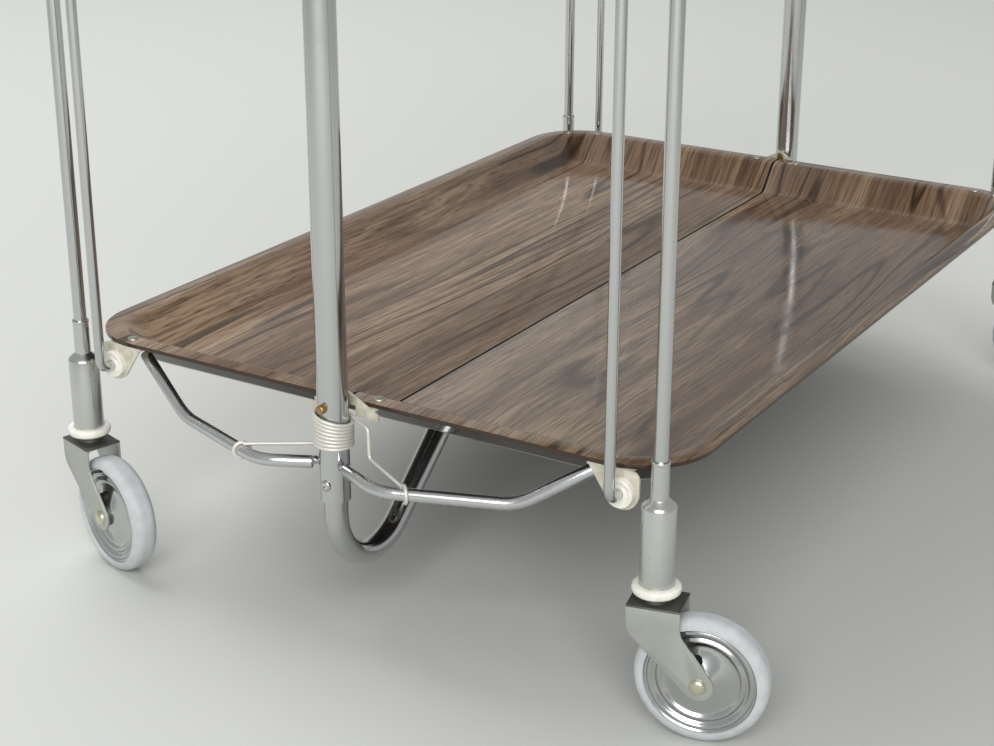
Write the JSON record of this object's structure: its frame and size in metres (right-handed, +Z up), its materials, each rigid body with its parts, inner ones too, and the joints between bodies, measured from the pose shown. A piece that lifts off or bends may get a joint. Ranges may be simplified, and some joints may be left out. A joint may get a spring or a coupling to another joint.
{
  "type": "folding two-tier serving trolley",
  "caption": "Folding two-tier tea trolley: split wood-grain trays on chromed rods, two cane-handled posts joined by a low bow, four swivel casters.",
  "frame": {"origin": "on the floor under the middle of the trays, where the wheels stand, with the trolley open", "axes": "+X along the trays from one post to the other, +Y across the trays, +Z up"},
  "size_m": [0.6864, 0.5324, 0.624],
  "materials": {
    "post_chrome": "bright chromed tube",
    "bow_chrome": "bright chromed tube",
    "rod_chrome": "bright chromed rod",
    "screw_steel": "plated steel",
    "peg_brass": "dull brass",
    "handle_plastic": "off-white moulded plastic",
    "spring_steel": "dull drawn wire",
    "walnut_laminate": "glossy printed walnut laminate on pressed board",
    "cream_enamel": "pale cream enamel",
    "bush_plastic": "white moulded plastic",
    "rivet_metal": "pale domed rivet",
    "socket_chrome": "satin chromed pressed steel",
    "ring_plastic": "white moulded plastic",
    "fork_steel": "bright zinc plate",
    "axle_steel": "domed plated rivet",
    "disc_chrome": "chromed pressing",
    "tyre_rubber": "light grey rubber"
  },
  "bodies": {
    "frame": {"near_upright": "post_chrome", "far_upright": "post_chrome", "lower_bow": "bow_chrome", "bow_screws": "screw_steel", "handle_caps": "handle_plastic", "stop_pegs": "peg_brass", "arm_springs": "spring_steel"},
    "lower_right_half": {"lower_right_tray": "walnut_laminate", "lower_right_brackets": "cream_enamel", "lower_right_arms": "rod_chrome", "lower_right_bushes": "bush_plastic", "lower_right_rivets": "rivet_metal"},
    "lower_left_half": {"lower_left_tray": "walnut_laminate", "lower_left_brackets": "cream_enamel", "lower_left_arms": "rod_chrome", "lower_left_bushes": "bush_plastic", "lower_left_rivets": "rivet_metal"},
    "upper_right_half": {"upper_right_tray": "walnut_laminate", "upper_right_brackets": "cream_enamel", "upper_right_arms": "rod_chrome", "upper_right_bushes": "bush_plastic", "upper_right_rivets": "rivet_metal"},
    "upper_left_half": {"upper_left_tray": "walnut_laminate", "upper_left_brackets": "cream_enamel", "upper_left_arms": "rod_chrome", "upper_left_bushes": "bush_plastic", "upper_left_rivets": "rivet_metal"},
    "near_right_leg": {"near_right_hanger_rod": "rod_chrome", "near_right_leg_tube": "rod_chrome", "near_right_caster_socket": "socket_chrome", "near_right_socket_ring": "ring_plastic"},
    "near_right_caster": {"near_right_caster_fork": "fork_steel", "near_right_caster_axle": "axle_steel"},
    "near_right_wheel": {"near_right_wheel_disc": "disc_chrome", "near_right_tyre": "tyre_rubber"},
    "near_left_leg": {"near_left_hanger_rod": "rod_chrome", "near_left_leg_tube": "rod_chrome", "near_left_caster_socket": "socket_chrome", "near_left_socket_ring": "ring_plastic"},
    "near_left_caster": {"near_left_caster_fork": "fork_steel", "near_left_caster_axle": "axle_steel"},
    "near_left_wheel": {"near_left_wheel_disc": "disc_chrome", "near_left_tyre": "tyre_rubber"},
    "far_right_leg": {"far_right_hanger_rod": "rod_chrome", "far_right_leg_tube": "rod_chrome", "far_right_caster_socket": "socket_chrome", "far_right_socket_ring": "ring_plastic"},
    "far_right_caster": {"far_right_caster_fork": "fork_steel", "far_right_caster_axle": "axle_steel"},
    "far_right_wheel": {"far_right_wheel_disc": "disc_chrome", "far_right_tyre": "tyre_rubber"},
    "far_left_leg": {"far_left_hanger_rod": "rod_chrome", "far_left_leg_tube": "rod_chrome", "far_left_caster_socket": "socket_chrome", "far_left_socket_ring": "ring_plastic"},
    "far_left_caster": {"far_left_caster_fork": "fork_steel", "far_left_caster_axle": "axle_steel"},
    "far_left_wheel": {"far_left_wheel_disc": "disc_chrome", "far_left_tyre": "tyre_rubber"}
  },
  "joints": [
    {"name": "lower_right_fold", "type": "hinge", "parent": "frame", "child": "lower_right_half", "pos_m": [0, -0.0113, 0.1163], "axis": [1, 0, 0], "range_deg": [0, 76], "deforming": ["arm_springs"]},
    {"name": "lower_left_fold", "type": "hinge", "parent": "frame", "child": "lower_left_half", "pos_m": [0, 0.0113, 0.1163], "axis": [-1, 0, 0], "range_deg": [0, 76]},
    {"name": "upper_right_fold", "type": "hinge", "parent": "frame", "child": "upper_right_half", "pos_m": [0, -0.0113, 0.4763], "axis": [1, 0, 0], "range_deg": [0, 76]},
    {"name": "upper_left_fold", "type": "hinge", "parent": "frame", "child": "upper_left_half", "pos_m": [0, 0.0113, 0.4763], "axis": [-1, 0, 0], "range_deg": [0, 76]},
    {"name": "near_right_leg_pivot", "type": "hinge", "parent": "lower_right_half", "child": "near_right_leg", "pos_m": [-0.3046, -0.178, 0.1358], "axis": [-1, 0, 0], "range_deg": [0, 76]},
    {"name": "near_right_swivel", "type": "hinge", "parent": "near_right_leg", "child": "near_right_caster", "pos_m": [-0.3075, -0.2023, 0.1], "axis": [0, 0, 1], "continuous": true},
    {"name": "near_right_wheel_spin", "type": "hinge", "parent": "near_right_caster", "child": "near_right_wheel", "pos_m": [-0.30143, -0.22861, 0.0375], "axis": [0.9744, 0.225, 0], "continuous": true},
    {"name": "near_left_leg_pivot", "type": "hinge", "parent": "lower_left_half", "child": "near_left_leg", "pos_m": [-0.3046, 0.178, 0.1358], "axis": [1, 0, 0], "range_deg": [0, 76]},
    {"name": "near_left_swivel", "type": "hinge", "parent": "near_left_leg", "child": "near_left_caster", "pos_m": [-0.3075, 0.2023, 0.1], "axis": [0, 0, 1], "continuous": true},
    {"name": "near_left_wheel_spin", "type": "hinge", "parent": "near_left_caster", "child": "near_left_wheel", "pos_m": [-0.31539, 0.17648, 0.0375], "axis": [0.9563, -0.2924, 0], "continuous": true},
    {"name": "far_right_leg_pivot", "type": "hinge", "parent": "lower_right_half", "child": "far_right_leg", "pos_m": [0.3046, -0.178, 0.1358], "axis": [-1, 0, 0], "range_deg": [0, 76]},
    {"name": "far_right_swivel", "type": "hinge", "parent": "far_right_leg", "child": "far_right_caster", "pos_m": [0.3075, -0.2023, 0.1], "axis": [0, 0, 1], "continuous": true},
    {"name": "far_right_wheel_spin", "type": "hinge", "parent": "far_right_caster", "child": "far_right_wheel", "pos_m": [0.31219, -0.22889, 0.0375], "axis": [0.9848, 0.1736, 0], "continuous": true},
    {"name": "far_left_leg_pivot", "type": "hinge", "parent": "lower_left_half", "child": "far_left_leg", "pos_m": [0.3046, 0.178, 0.1358], "axis": [1, 0, 0], "range_deg": [0, 76]},
    {"name": "far_left_swivel", "type": "hinge", "parent": "far_left_leg", "child": "far_left_caster", "pos_m": [0.3075, 0.2023, 0.1], "axis": [0, 0, 1], "continuous": true},
    {"name": "far_left_wheel_spin", "type": "hinge", "parent": "far_left_caster", "child": "far_left_wheel", "pos_m": [0.30281, 0.22889, 0.0375], "axis": [-0.9848, -0.1736, 0], "continuous": true}
  ],
  "couplings": [
    {"joint": "lower_left_fold", "follows": "lower_right_fold", "ratio": 1},
    {"joint": "upper_right_fold", "follows": "lower_right_fold", "ratio": 1},
    {"joint": "upper_left_fold", "follows": "lower_right_fold", "ratio": 1},
    {"joint": "near_right_leg_pivot", "follows": "lower_right_fold", "ratio": 1},
    {"joint": "near_left_leg_pivot", "follows": "lower_right_fold", "ratio": 1},
    {"joint": "far_right_leg_pivot", "follows": "lower_right_fold", "ratio": 1},
    {"joint": "far_left_leg_pivot", "follows": "lower_right_fold", "ratio": 1}
  ]
}
